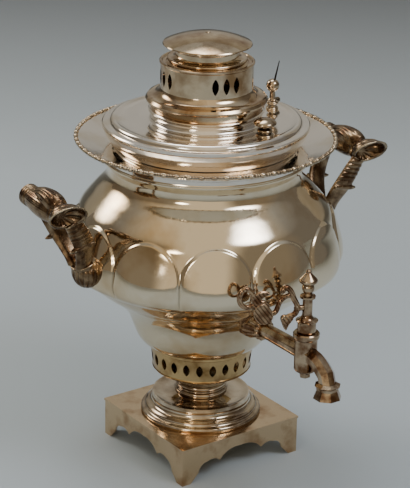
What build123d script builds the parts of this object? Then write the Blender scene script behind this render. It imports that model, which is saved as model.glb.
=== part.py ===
"""A table samovar in silver-plated brass.

Millimetres, +Z up. The origin is on the axis of the samovar at the level the feet stand on.
The tap points to -Y and the handles stand at -X and +X.
"""
from build123d import *
from functools import cache
import math
import os

# ---------------------------------------------------------------- driving dimensions
wall = 1.8              # spun and raised sheet of the body
thin_wall = 1.5         # sheet of the lid, the crown, the cap and the air gallery
seat_gap = 0.3          # between a lift-off piece and what it stands round
turning_gap = 0.08      # between the plug and its barrel

# plinth
plinth_side = 154.7
plinth_height = 43.5
plinth_lip = 0.9        # how far the top edge stands out
plinth_lip_height = 2.2
cutout_crown = 29.0     # height of the cut-out in each side at its middle
cutout_haunch = 21.5    # height of the cut-out beside its cusps
cusp_height = 18.6
cusp_place = 28.0       # from the middle of the side
foot_toe = 10.0         # width of a bracket foot at the floor
foot_ankle = 25.0       # width of a bracket foot at the haunch

# stepped foot and spool
foot_radius = 66.7
foot_height = 22.6
dish_radius = 53.7
spool_radius = 28.8
spool_height = 31.5
rod_radius = 3.0

# air gallery
gallery_radius = 54.9   # at its foot
gallery_flare = 3.4     # how much wider it is at the top
gallery_height = 29.9
air_holes = 24
air_hole_width = 7.4
air_hole_height = 14.0

# body
bowl_height = 86.0      # from the air gallery to the seam under the lobes
bowl_waist = 76.0       # radius of the bowl's upright part
seam_radius = 134.0     # radius at the seam between bowl and belly
belly_height = 78.0     # from that seam to the seam on the shoulder
belly_radius = 152.3    # to the crown of a lobe
lobe_count = 12
lobe_offset = 80.0      # from the samovar's axis to the axis that a lobe is turned about
lobe_relief = 4.2       # how far the lobes stand out from the belly between them
lobe_spring = 42.0      # from the seam under the lobes up to where their arched tops start
lobe_top = 74.5         # from that seam up to the crown of an arch
shoulder_radius = 131.5
shoulder_height = 50.9  # from the seam on the shoulder to the ring under the rim
neck_radius = 103.5
ring_radius = 111.1

# drip rim
rim_radius = 138.0
rim_rise = 21.4         # from the ring under the rim to the rim's edge
rim_bead = 2.6          # radius of the wire round the edge
lid_seat_radius = 97.0
lid_seat_drop = 13.1    # how far the seat of the lid lies below the rim's edge

# fire tube and grate
tube_radius = 31.0
tube_wall = 2.0
tube_top = 10.0         # how far the tube stands above the collar of the lid
grate_thickness = 3.0
grate_slot = 5.0

# lid
lid_foot_radius = 94.5
lid_edge_radius = 110.5
lid_skirt = 28.3        # height of the skirt below the edge
lid_step_radius = 99.5
lid_step = 5.5          # height of the moulded step above the edge
collar_radius = 57.5
collar_height = 11.0
collar_lip = 3.9
knob_circle = 80.5      # radius at which the knobs stand
knob_spread = 69.5      # from the vent to each knob
knob_radius = 9.3
knob_height = 18.5
vent_turn = 83.0        # from the tap's direction
vent_ball_radius = 7.2
vent_height = 33.5
vent_pin_length = 22.0

# crown and cap
crown_radius = 49.3
crown_foot_radius = 64.7
crown_foot_height = 14.6
crown_height = 52.0
crown_mouth = 33.0
crown_groups = 4
crown_group_turn = -11.0
crown_holes_per_group = 3
crown_hole_pitch = 14.0
crown_hole_width = 7.0
crown_hole_height = 17.5
cap_neck_radius = 33.6
cap_foot_radius = 42.3
cap_lip_radius = 47.2
cap_height = 29.0
cap_spigot = 8.0

# tap
tap_height = 180.0      # axis of the pipe above the floor
pipe_radius = 7.4       # at the body
pipe_end_radius = 9.0   # at the barrel
water_bore = 3.6
barrel_distance = 183.5  # from the samovar's axis to the axis of the barrel
barrel_radius = 11.8
barrel_flange = 13.8
barrel_height = 44.0
barrel_drop = 20.0      # how far the barrel reaches below the axis of the pipe
plug_top_radius = 8.4
plug_foot_radius = 6.8
rosette_radius = 15.0
rosette_length = 21.0   # how far the rosette stands out from the bowl
spout_reach = 37.5      # from the axis of the barrel to the mouth
spout_drop = 35.0       # from the axis of the pipe down to the mouth
spout_radius = 9.2
mouth_radius = 15.0
mouth_height = 14.0     # of the eight-sided cup at the end of the spout
post_radius = 5.2
post_height = 42.8      # from the shoulder of the plug to the seat of the finial
key_rest_turn = 20.0    # how far the lever is turned towards the body
lever_thickness = 6.0
lever_length = 73.0

# handles
root_reach = 1.7        # from the crown of a lobe out to the middle of the root
root_middle = -6.5      # its place along Y
root_height = 243.0
root_half_width = 16.0
root_half_height = 17.0
root_half_depth = 15.0
grip_distance = 196.0   # from the samovar's axis to the axis of the grip
grip_height = 319.0     # of that axis at the neck of the grip
neck_place = -19.0      # of the neck along Y
grip_neck_radius = 10.2
grip_radius = 13.4
back_length = 61.0      # of the grip behind its neck
back_rise = 4.6         # degrees that the back of the grip climbs
rear_radius = 10.6
rest_radius = 10.8      # of the thumb rest along the top of the back
rest_length = 56.0
shell_length = 33.0     # of the shell in front of the neck, at its top
shell_wall = 2.2
shell_half_width = 21.5
shell_half_height = 17.5
shell_slant = 42.0      # degrees that the mouth of the shell leans forward
shell_twist = 14.0      # degrees that both shells are turned about Y, their +X side down
arm_width = 24.0        # of the leaf at its widest
arm_thickness = 8.0
front_arm_spread = 24.0  # from the middle of the root forward to the top of the front arm
rear_arm_spread = 31.0
thorn_reach = 19.0      # from the middle of an arm out to the tip of its thorn

# ---------------------------------------------------------------- levels
foot_level = plinth_height
spool_level = foot_level + foot_height
gallery_level = spool_level + spool_height
bowl_level = gallery_level + gallery_height
belly_level = bowl_level + bowl_height
shoulder_level = belly_level + belly_height
ring_level = shoulder_level + shoulder_height
rim_level = ring_level + rim_rise
seat_level = rim_level - lid_seat_drop
lid_edge_level = seat_level + lid_skirt
lid_top_level = lid_edge_level + lid_step
lid_surface = lid_top_level - 1.8   # flat ring of the lid that the knobs and the vent stand on
collar_level = lid_top_level + collar_height
crown_level = collar_level
crown_top_level = crown_level + crown_height
cap_level = crown_top_level
cock_level = tap_height - barrel_drop
flange_level = cock_level + barrel_height
plug_shoulder_level = flange_level + seat_gap
post_level = plug_shoulder_level + 11.5


# ---------------------------------------------------------------- helpers
def section(*points):
    """Points of a section, given as radius and height."""
    return [(radius, 0, height) for radius, height in points]


def turned(*edges):
    """A solid turned about the upright axis from a closed outline."""
    return revolve(make_face(Wire(list(edges))), Axis.Z)


def turned_points(*points):
    """A turned solid whose outline has straight sides only."""
    return turned(*Polyline(*section(*points), close=True).edges())


def pointed_hole(width, height, depth):
    """A cutter with the outline of a pointed oval, lying along +X from the axis."""
    half_width = width / 2
    half_height = height / 2
    sides = [
        ThreePointArc((0, -half_height), (half_width, 0), (0, half_height)),
        ThreePointArc((0, half_height), (-half_width, 0), (0, -half_height)),
    ]
    return extrude(Plane.YZ * make_face(sides), depth)


def around(shape, count, start=0.0):
    """Copies of a shape at equal steps round the upright axis."""
    return [Rot(0, 0, start + 360 * step / count) * shape for step in range(count)]


def place_on_circle(radius, turn, height=0.0):
    """A location on a circle about the axis. The turn is measured from the tap's direction."""
    angle = math.radians(turn)
    return Pos(radius * math.sin(angle), -radius * math.cos(angle), height)


def mirrored(shape):
    """The same piece for the other handle."""
    return mirror(shape, Plane.YZ)


def one(shape):
    """The single solid of a result."""
    solids = shape.solids()
    return max(solids, key=lambda solid: solid.volume)


# ---------------------------------------------------------------- plinth and foot
def make_plinth():
    half = plinth_side / 2
    tray = Box(plinth_side, plinth_side, plinth_height, align=(Align.CENTER, Align.CENTER, Align.MIN))
    lip_side = plinth_side + 2 * plinth_lip
    lip = Box(lip_side, lip_side, plinth_lip_height, align=(Align.CENTER, Align.CENTER, Align.MAX))
    tray = tray + Pos(0, 0, plinth_height) * lip
    inside = plinth_side - 2 * wall
    hollow = Box(inside, inside, plinth_height - wall, align=(Align.CENTER, Align.CENTER, Align.MIN))
    tray -= hollow
    ankle = half - foot_ankle
    toe = half - foot_toe
    half_outline = [
        ThreePointArc((0, cutout_crown), (cusp_place * 0.55, cutout_crown - 1.2), (cusp_place, cusp_height)),
        ThreePointArc((cusp_place, cusp_height), (cusp_place + 4, cutout_haunch), (ankle - 8, cutout_haunch)),
        ThreePointArc((ankle - 8, cutout_haunch), (ankle + 1, cutout_haunch - 4), (ankle + 4, cutout_haunch / 2)),
        ThreePointArc((ankle + 4, cutout_haunch / 2), (ankle + 9, cutout_haunch / 4), (toe, -1)),
    ]
    half_face = make_face(Wire(half_outline + Polyline((toe, -1), (0, -1), (0, cutout_crown)).edges()))
    opening = half_face + mirror(half_face, Plane.YZ)
    cutter = extrude(Plane.XZ * opening, plinth_side, both=True)
    tray -= cutter
    tray -= Rot(0, 0, 90) * cutter
    tray -= Pos(0, 0, plinth_height) * Cylinder(rod_radius + seat_gap, 3 * wall)
    return one(tray)


def make_foot():
    z = foot_level
    top = spool_level
    outline = Polyline(*section(
        (foot_radius - 0.7, z), (foot_radius, z + 1.5))).edges()
    outline += [ThreePointArc(*section(
        (foot_radius, z + 1.5), (foot_radius - 0.4, z + 3.8), (foot_radius - 3.2, z + 5.0)))]
    outline += [ThreePointArc(*section(
        (foot_radius - 3.2, z + 5.0), (foot_radius - 5.2, z + 6.4), (foot_radius - 5.4, z + 9.4)))]
    outline += [Line(*section(
        (foot_radius - 5.4, z + 9.4), (foot_radius - 7.2, z + 10.6)))]
    outline += [ThreePointArc(*section(
        (foot_radius - 7.2, z + 10.6), (dish_radius + 1.2, z + 13.2), (dish_radius + 0.9, top - 4.0)))]
    outline += Polyline(*section(
        (dish_radius + 0.9, top - 4.0), (dish_radius, top - 0.4), (dish_radius - 1.6, top - 0.4))).edges()
    outline += [ThreePointArc(*section(
        (dish_radius - 1.6, top - 0.4), (dish_radius - 12.0, top - 2.6), (spool_radius, top)))]
    outline += Polyline(*section(
        (spool_radius, top), (rod_radius + seat_gap, top), (rod_radius + seat_gap, top - wall),
        (spool_radius, top - wall))).edges()
    outline += [ThreePointArc(*section(
        (spool_radius, top - wall), (dish_radius - 12.0, top - 2.6 - wall), (dish_radius - 3.4, top - 2.6)))]
    outline += Polyline(*section(
        (dish_radius - 3.4, top - 2.6), (dish_radius - 1.4, z + 9.0), (foot_radius - 8.2, z + 7.4),
        (foot_radius - 3.6, z + 2.4), (foot_radius - 3.6, z), (foot_radius - 0.7, z))).edges()
    return one(turned(*outline))


def make_spool():
    z = spool_level
    top = gallery_level - wall
    outer = spool_radius
    waist = spool_radius - 5.5
    outline = [
        Line(*section((outer - 1.5, z), (outer - 0.4, z + 0.8))),
        ThreePointArc(*section((outer - 0.4, z + 0.8), (outer + 0.6, z + 3.4), (outer - 0.6, z + 6.0))),
        ThreePointArc(*section((outer - 0.6, z + 6.0), (outer - 2.4, z + 7.6), (outer - 0.8, z + 9.2))),
        ThreePointArc(*section((outer - 0.8, z + 9.2), (outer, z + 11.4), (outer - 1.0, z + 13.4))),
        ThreePointArc(*section((outer - 1.0, z + 13.4), (waist, z + 18.5), (outer - 1.5, top - 5.0))),
        ThreePointArc(*section((outer - 1.5, top - 5.0), (outer + 4.0, top - 2.4), (outer + 12.0, top))),
    ]
    outline += Polyline(*section(
        (outer + 12.0, top), (rod_radius + seat_gap, top), (rod_radius + seat_gap, top - 3 * wall),
        (waist - 3 * wall, top - 3 * wall), (waist - 3 * wall, z + 3 * wall), (rod_radius + seat_gap, z + 3 * wall),
        (rod_radius + seat_gap, z), (outer - 1.5, z))).edges()
    return one(turned(*outline))


def make_tie_rod():
    top = gallery_level + thin_wall
    foot = plinth_height - 5 * wall
    rod = Pos(0, 0, foot) * Cylinder(rod_radius, top - foot, align=(Align.CENTER, Align.CENTER, Align.MIN))
    head = Pos(0, 0, top) * Cylinder(2.4 * rod_radius, 3.2, align=(Align.CENTER, Align.CENTER, Align.MIN))
    return one(rod + head)


def make_tie_nut():
    top = plinth_height - wall
    washer = Cylinder(3 * rod_radius, 1.5, align=(Align.CENTER, Align.CENTER, Align.MAX))
    nut = extrude(RegularPolygon(1.9 * rod_radius, 6), -4.5)
    body = Pos(0, 0, top) * (washer + Pos(0, 0, -1.5) * nut)
    return one(body - Pos(0, 0, top) * Cylinder(rod_radius, 20))


# ---------------------------------------------------------------- air gallery
def make_gallery():
    z = gallery_level
    top = bowl_level
    foot = gallery_radius
    head = gallery_radius + gallery_flare
    ring = turned(*Polyline(*section(
        (rod_radius + seat_gap, z - wall), (foot - 3.5, z - wall), (foot - 0.8, z), (foot, z + 1.4),
        (foot - 0.7, z + 2.4), (head - 1.2, top - 3.4), (head, top - 2.4), (head, top),
        (head - 4.2, top), (head - 1.2 - thin_wall, top - 3.4), (foot - 0.7 - thin_wall, z + thin_wall),
        (rod_radius + seat_gap, z + thin_wall)), close=True).edges())
    middle = (z + top) / 2
    hole = Pos(0, 0, middle) * pointed_hole(air_hole_width, air_hole_height, 2 * gallery_radius)
    hole -= Cylinder(gallery_radius - 12, 4 * gallery_height + 4 * z)
    step = 360 / air_holes
    for cutter in around(hole, air_holes, step / 2):
        ring -= cutter
    return one(ring)


# ---------------------------------------------------------------- fire tube
def make_fire_tube():
    foot = bowl_level - 4.0
    top = collar_level + tube_top
    inner = tube_radius - tube_wall
    ledge = inner - 2.5
    return one(turned_points(
        (tube_radius, foot), (tube_radius, top), (inner, top), (inner, foot + 3.0), (ledge, foot + 3.0),
        (ledge, foot)))


def make_fire_grate():
    level = bowl_level - 1.0
    disc = Cylinder(tube_radius - tube_wall - seat_gap, grate_thickness,
                    align=(Align.CENTER, Align.CENTER, Align.MIN))
    for place in (-2, -1, 0, 1, 2):
        length = 2 * math.sqrt((tube_radius - 8) ** 2 - (2 * place * grate_slot) ** 2)
        slot = extrude(SlotOverall(length, grate_slot), 4 * grate_thickness, both=True)
        disc -= Pos(0, 2 * place * grate_slot, 0) * slot
    return one(Pos(0, 0, level) * disc)


# ---------------------------------------------------------------- body
def bowl_outline(inset=0.0, lift=0.0):
    """A face of the bowl, from the air gallery up to the seam under the lobes."""
    z = bowl_level
    start = gallery_radius + gallery_flare - inset + 1.6 * lift
    waist = bowl_waist - inset
    edge = seam_radius - inset
    return Spline(
        *section((start, z + lift), (waist - 2.8, z + 14.0), (waist + 6.0, z + 37.0), (waist + 28.0, z + 62.0),
                 (edge, belly_level)),
        tangents=[(1, 0, 0.35), (0.8, 0, 0.75)])


def bowl_radius_at(height):
    """Radius of the outer face of the bowl at a height, found by halving its outline again and again."""
    outline = bowl_outline()
    low, high = 0.0, 1.0
    for _ in range(30):
        middle = (low + high) / 2
        if (outline @ middle).Z < height:
            low = middle
        else:
            high = middle
    return (outline @ low).X


def make_bowl():
    """A raised bowl with a flat floor round the foot of the fire tube."""
    z = bowl_level
    floor = 1.4 * wall
    outer = bowl_outline()
    inner = bowl_outline(1.4 * wall, floor)
    outline = outer.edges() + inner.edges() + [Line(outer @ 1, inner @ 1)]
    outline += Polyline(inner @ 0, (tube_radius, 0, z + floor), (tube_radius, 0, z), outer @ 0).edges()
    bowl = turned(*outline)
    bowl -= pipe_axis * Cylinder(water_bore, barrel_distance, align=(Align.CENTER, Align.CENTER, Align.MIN))
    return one(bowl)


def belly_core(inset=0.0):
    """The smooth belly, without its lobes."""
    z = belly_level
    crown = belly_radius - lobe_relief - inset
    face = Spline(
        *section((seam_radius - inset, z), (crown - 3.6, z + 11.0), (crown - 2.4, z + 25.0),
                 (crown - 9.0, z + 50.0), (crown - 12.4, z + 66.0), (shoulder_radius - inset, shoulder_level)),
        tangents=[(0.8, 0, 0.75), (-0.75, 0, 0.6)])
    closing = Polyline(face @ 1, (0, 0, shoulder_level), (0, 0, z), face @ 0)
    return turned(*(face.edges() + closing.edges()))


def lobe_arch(inset=0.0):
    """A prism with a round-arched top. It bounds a lobe to the outline seen from outside."""
    half = belly_radius * math.tan(math.pi / lobe_count) - inset
    foot = belly_level - 3.0
    spring = belly_level + lobe_spring
    crown = belly_level + lobe_top - inset
    outline = Polyline((-half, spring), (-half, foot), (half, foot), (half, spring)).edges()
    outline += [ThreePointArc((half, spring), (0, crown), (-half, spring))]
    return extrude(Plane.XZ * make_face(outline), 1.2 * belly_radius)


def lobe(inset=0.0):
    """One lobe, turned about its own upright axis and standing at the tap."""
    z = belly_level
    reach = belly_radius - lobe_offset - inset
    face = Spline(
        *section((reach - 22.0, z - 2.0), (reach - 3.2, z + 12.0), (reach, z + 22.0), (reach - 2.8, z + 38.0),
                 (reach - 7.8, z + 56.0), (reach - 10.2, z + 64.0), (reach - 14.6, z + 70.0), (reach - 21.0, z + 76.0)),
        tangents=[(0.75, 0, 0.7), (-0.75, 0, 0.65)])
    closing = Polyline(face @ 1, (0, 0, z + 76.0), (0, 0, z - 2.0), face @ 0)
    solid = turned(*(face.edges() + closing.edges()))
    return (place_on_circle(lobe_offset, 0) * solid) & lobe_arch(inset)


@cache
def lobed_belly(inset=0.0):
    solid = belly_core(inset)
    for copy in around(lobe(inset), lobe_count):
        solid += copy
    slab = Pos(0, 0, belly_level) * Cylinder(
        2 * belly_radius, belly_height, align=(Align.CENTER, Align.CENTER, Align.MIN))
    return solid & slab


def make_belly():
    shell = lobed_belly() - lobed_belly(wall)
    return one(shell)


def make_shoulder():
    z = shoulder_level
    ring = ring_level
    face = Spline(
        *section((shoulder_radius, z), (shoulder_radius - 12.0, z + 14.0), (neck_radius + 3.0, z + 28.0),
                 (neck_radius, z + 38.0), (ring_radius - 2.2, ring - 1.5)),
        tangents=[(-0.75, 0, 0.6), (0.9, 0, 0.4)])
    inner = Spline(
        *section((shoulder_radius - 1.4 * wall, z), (shoulder_radius - 12.0 - 1.4 * wall, z + 14.0),
                 (neck_radius + 3.0 - wall, z + 28.0), (neck_radius - wall, z + 38.0),
                 (ring_radius - 4.6, ring + 1.0)),
        tangents=[(-0.75, 0, 0.6), (0.9, 0, 0.5)])
    top = ring + 3.0
    outline = face.edges() + inner.edges() + [Line(face @ 0, inner @ 0)]
    outline += Polyline(face @ 1, *section(
        (ring_radius, ring - 1.0), (ring_radius, ring + 1.0), (ring_radius - 1.5, ring + 1.8),
        (ring_radius - 1.5, top), (ring_radius - 4.6, top)), inner @ 1).edges()
    return one(turned(*outline))


# ---------------------------------------------------------------- drip rim
def make_drip_dish():
    under = ring_level + 3.0
    edge = rim_level
    seat = seat_level
    mouth = lid_seat_radius - 9.0
    return one(turned_points(
        (ring_radius - 4.6, under), (ring_radius - 1.5, under), (ring_radius - 1.5, under + 4.0),
        (rim_radius - 2.0, edge - 2.8), (rim_radius - 0.6, edge - 1.4), (rim_radius - 0.6, edge),
        (lid_seat_radius + 3.0, seat + 1.6), (lid_seat_radius, seat), (mouth, seat), (mouth, seat - wall),
        (lid_seat_radius + 4.0, seat - wall), (ring_radius - 4.6, seat - 0.4)))


def make_rim_edge():
    ring = Pos(0, 0, rim_level) * Torus(rim_radius, rim_bead)
    return one(ring - make_drip_dish())


# ---------------------------------------------------------------- tap
pipe_axis = Pos(0, 0, tap_height) * Rot(90, 0, 0)
barrel_axis = Pos(0, -barrel_distance, 0)


@cache
def bowl_envelope():
    """Everything inside the outer face of the bowl."""
    face = bowl_outline()
    closing = Polyline(face @ 1, (0, 0, belly_level), (0, 0, bowl_level), face @ 0)
    return turned(*(face.edges() + closing.edges()))


def pipe_cone():
    """The pipe as a solid taper, starting well inside the bowl."""
    start = 0.3 * barrel_distance
    length = barrel_distance - start
    return pipe_axis * Pos(0, 0, start) * Cone(
        pipe_radius, pipe_end_radius, length, align=(Align.CENTER, Align.CENTER, Align.MIN))


def barrel_clearance():
    """What the pipe and the spout leave free for the barrel."""
    return barrel_axis * Pos(0, 0, cock_level) * Cylinder(barrel_radius, 2 * barrel_height)


def make_pipe():
    pipe = pipe_cone()
    pipe -= pipe_axis * Cylinder(water_bore, 4 * barrel_distance)
    pipe -= bowl_envelope()
    pipe -= barrel_clearance()
    return one(pipe)


def make_rosette():
    """A leaf cup round the pipe, hugging the bowl."""
    reach = bowl_radius_at(tap_height) + rosette_length
    start = reach - 2.5 * rosette_length
    collar = pipe_radius + 2.6
    outline = [Line(*section((rosette_radius, start), (rosette_radius, reach - 0.94 * rosette_length)))]
    outline += [ThreePointArc(*section(
        (rosette_radius, reach - 0.94 * rosette_length), (collar + 2.4, reach - 13.0), (collar, reach - 5.5)))]
    outline += [ThreePointArc(*section(
        (collar, reach - 5.5), (collar + 2.0, reach - 2.8), (collar, reach)))]
    outline += Polyline(*section(
        (collar, reach), (0, reach), (0, start), (rosette_radius, start))).edges()
    leaves = pipe_axis * turned(*outline)
    leaves -= bowl_envelope()
    leaves -= pipe_cone()
    return one(leaves)


def plug_cone(gap):
    """The tapered plug, or with a gap the seat that it turns in."""
    slope = (plug_top_radius - plug_foot_radius) / barrel_height
    foot = plug_foot_radius + gap - slope
    head = plug_top_radius + gap + slope
    return Pos(0, 0, cock_level - 1) * Cone(
        foot, head, barrel_height + 2, align=(Align.CENTER, Align.CENTER, Align.MIN))


def make_cock_body():
    z = cock_level
    flange = flange_level
    r = barrel_radius
    outline = [
        ThreePointArc(*section((r - 3.4, z), (r - 1.0, z + 1.4), (r, z + 5.0))),
        Line(*section((r, z + 5.0), (r, flange - 7.5))),
        ThreePointArc(*section((r, flange - 7.5), (barrel_flange - 0.6, flange - 6.2), (barrel_flange, flange - 4.0))),
    ]
    outline += Polyline(*section(
        (barrel_flange, flange - 4.0), (barrel_flange, flange - 1.2), (barrel_flange - 1.2, flange), (0, flange),
        (0, z), (r - 3.4, z))).edges()
    barrel = turned(*outline) - plug_cone(turning_gap)
    barrel = barrel_axis * barrel
    bore = pipe_axis * Pos(0, 0, barrel_distance) * Cylinder(water_bore, 4 * r)
    return one(barrel - bore)


def spout_path():
    """Centre line of the spout: out of the barrel, then down to the mouth."""
    start = barrel_distance + 4.0
    run = spout_reach - 4.0
    fall = spout_drop - mouth_height
    line = [(0.0, 0.0), (0.57, 0.17), (0.86, 0.51), (1.0, 1.0)]
    return Spline(*[(0, -start - out * run, tap_height - down * fall) for out, down in line],
                  tangents=[(0, -1, 0), (0, 0, -1)])


def octagon_at(point, aim, radius):
    """An eight-sided section of the spout, standing across the direction that the water takes."""
    plane = Plane(origin=point, x_dir=(1, 0, 0), z_dir=aim)
    return plane * (Rot(0, 0, 22.5) * RegularPolygon(radius, 8))


def make_spout():
    path = spout_path()
    end = barrel_distance + spout_reach
    places = (0.0, 0.18, 0.34, 0.48, 0.62, 0.78, 1.0)
    tube = loft([octagon_at(path @ place, path % place, spout_radius) for place in places], ruled=True)
    mouth_level = tap_height - spout_drop
    heights = [0.0, 0.18 * mouth_height, 0.64 * mouth_height, 0.86 * mouth_height, mouth_height,
               mouth_height + 2.4]
    radii = [mouth_radius, mouth_radius - 1.0, spout_radius + 2.2, spout_radius + 3.0, spout_radius + 4.6,
             spout_radius + 0.2]
    rings = [octagon_at((0, -end, mouth_level + up), (0, 0, 1), radius) for up, radius in zip(heights, radii)]
    mouth = loft(rings, ruled=True)
    spout = tube + mouth
    spout -= barrel_clearance()
    facing = Plane(origin=path @ 0, x_dir=(1, 0, 0), z_dir=path % 0)
    spout -= sweep(facing * Circle(water_bore), path=path)
    spout -= Pos(0, -end, mouth_level - 1) * Cone(
        mouth_radius - 3.0, water_bore - 0.5, mouth_height + 2.5, align=(Align.CENTER, Align.CENTER, Align.MIN))
    spout -= pipe_axis * Pos(0, 0, barrel_distance) * Cylinder(
        water_bore, 16, align=(Align.CENTER, Align.CENTER, Align.MIN))
    return one(spout)


def make_plug():
    z = cock_level
    cone = plug_cone(0) & Pos(0, 0, z) * Cylinder(
        20, barrel_height + seat_gap, align=(Align.CENTER, Align.CENTER, Align.MIN))
    collar = turned_points(
        (0, plug_shoulder_level), (9.4, plug_shoulder_level), (9.8, plug_shoulder_level + 1.5),
        (9.4, post_level), (0, post_level))
    stud = Pos(0, 0, z - 7.5) * Cylinder(3.0, 8.5, align=(Align.CENTER, Align.CENTER, Align.MIN))
    port = Pos(0, 0, tap_height) * Rot(0, 90, 0) * Cylinder(water_bore, 60)
    plug = cone + collar + stud - Rot(0, 0, -key_rest_turn) * port
    return one(barrel_axis * plug)


def make_plug_nut():
    top = cock_level - seat_gap
    washer = Cylinder(6.6, 1.6, align=(Align.CENTER, Align.CENTER, Align.MAX))
    nut = Pos(0, 0, -1.6) * extrude(RegularPolygon(5.8, 6), -4.4)
    body = Pos(0, 0, top) * (washer + nut) - Pos(0, 0, top) * Cylinder(3.0, 30)
    return one(barrel_axis * body)


def make_key_post():
    z = post_level
    r = post_radius
    top = plug_shoulder_level + post_height
    outline = Polyline(*section((0, z), (11.0, z), (11.6, z + 1.4))).edges()
    outline += [ThreePointArc(*section((11.6, z + 1.4), (r + 1.6, z + 4.4), (r, z + 8.5)))]
    outline += Polyline(*section(
        (r, z + 8.5), (r, top - 6.6), (r + 1.2, top - 5.8), (8.1, top - 5.0), (8.1, top - 3.0),
        (r, top - 2.0), (r - 1.2, top), (0, top), (0, z))).edges()
    return one(barrel_axis * turned(*outline))


def make_key_finial():
    z = plug_shoulder_level + post_height
    outline = [
        ThreePointArc(*section((3.8, z), (6.4, z + 5.0), (4.6, z + 10.0))),
        Line(*section((4.6, z + 10.0), (8.6, z + 11.4))),
        ThreePointArc(*section((8.6, z + 11.4), (9.5, z + 13.4), (8.4, z + 15.8))),
        ThreePointArc(*section((8.4, z + 15.8), (5.4, z + 19.0), (2.6, z + 22.0))),
        ThreePointArc(*section((2.6, z + 22.0), (2.6, z + 24.2), (0.8, z + 25.5))),
        Line(*section((0.8, z + 25.5), (0, z + 25.5))),
        Line(*section((0, z + 25.5), (0, z))),
        Line(*section((0, z), (3.8, z))),
    ]
    return one(barrel_axis * turned(*outline))


def scroll_rod(points, radius):
    """A round rod along a smooth line, with ball ends, in the plane of the lever."""
    line = Spline(*[(x, 0, z) for x, z in points])
    profile = Plane(origin=line @ 0, z_dir=line % 0) * Circle(radius)
    rod = sweep(profile, path=line)
    for end in (line @ 0, line @ 1):
        rod += Pos(*end) * Sphere(radius * 1.02)
    return rod


def leaf_plate(points, thickness):
    """A pointed leaf cut from plate, in the plane of the lever."""
    outline = Spline(*[(x, z) for x, z in points], periodic=True)
    return extrude(Plane.XZ * make_face(outline), thickness / 2, both=True)


def make_key_lever():
    """Openwork lever drawn along +X from the axis of the post, then turned to its rest."""
    z = plug_shoulder_level + 25.0
    far = lever_length
    thick = lever_thickness / 2
    near_scroll = [(27.0, z + 22.5), (23.5, z + 25.5), (18.5, z + 21.5), (15.0, z + 13.0), (11.0, z + 3.5),
                   (14.0, z - 4.5), (19.5, z - 6.5), (22.5, z - 13.5)]
    lever = scroll_rod(near_scroll, thick)
    lever += scroll_rod([(post_radius - 1.0, z + 2.0), (11.5, z + 2.0)], thick)
    lever += scroll_rod([(17.0, z + 16.0), (24.5, z + 15.5), (30.5, z + 9.0), (34.0, z), (41.0, z - 1.0)], thick * 0.9)
    lever += leaf_plate([(18.0, z - 6), (28.0, z - 7.5), (26.5, z - 14), (23.0, z - 21), (19.0, z - 14)], thick * 1.6)
    lever += leaf_plate(
        [(38.0, z - 6.0), (39.5, z + 4.0), (48.5, z + 10.5), (57.0, z + 6.0), (57.0, z - 3.0), (48.0, z - 11.5)],
        lever_thickness * 1.3)
    far_scroll = [(43.0, z + 8.5), (54.0, z + 11.0), (64.0, z + 7.5), (far - 1.5, z + 13.0), (far - 1.0, z + 21.5),
                  (far - 6.0, z + 27.5), (far - 13.0, z + 24.0), (far - 14.5, z + 18.0)]
    lever += scroll_rod(far_scroll, thick * 0.9)
    lever += leaf_plate(
        [(50.0, z + 9.0), (47.0, z + 17.5), (40.5, z + 21.0), (49.0, z + 23.0), (56.5, z + 20.0), (57.5, z + 10.0)],
        thick * 1.5)
    lever -= Pos(0, 0, z) * Cylinder(post_radius, 80)
    return one(barrel_axis * Rot(0, 0, 180 - key_rest_turn) * lever)


# ---------------------------------------------------------------- handles, drawn at +X
seam_turn = 40          # keeps the seams of turned pieces that are joined apart


def grip_frame(climb):
    """A frame at the neck of the grip. Its Z runs along the back, which climbs by some degrees."""
    return Pos(grip_distance, neck_place, grip_height) * Rot(climb - 90, 0, 0)


def shell_frame(twist):
    """A frame at the neck of the grip whose axes are turned about Y."""
    return Pos(grip_distance, neck_place, grip_height) * Rot(0, twist, 0)


def shell_section(along, wide, high):
    """An oval across the front of the grip, some way before the neck."""
    return Plane(origin=(0, -along, 0), x_dir=(1, 0, 0), z_dir=(0, -1, 0)) * Ellipse(wide, high)


def make_grip_shell(twist, solid=False):
    """The front of the grip: a shell that opens forwards and down over the arm."""
    neck = grip_neck_radius
    wide = shell_half_width
    high = shell_half_height
    length = shell_length
    outer = loft([
        shell_section(0, neck, neck), shell_section(0.12 * length, neck + 1.2, neck + 1.0),
        shell_section(0.34 * length, 0.78 * wide, 0.84 * high), shell_section(0.64 * length, 0.95 * wide, 0.97 * high),
        shell_section(length, wide, high)])
    wide -= shell_wall
    high -= shell_wall
    inner = loft([
        shell_section(0.20 * length, 0.4 * neck, 0.4 * neck), shell_section(0.38 * length, 0.74 * wide, 0.80 * high),
        shell_section(0.66 * length, 0.95 * wide, 0.97 * high), shell_section(length + 1.0, wide, high)])
    waste = Pos(0, -0.55 * length, 0) * Rot(shell_slant, 0, 0) * Pos(0, -2 * length, 0) * Box(
        4 * length, 4 * length, 4 * length)
    shell = outer - waste
    if not solid:
        shell -= inner
    return shell_frame(twist) * shell


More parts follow.
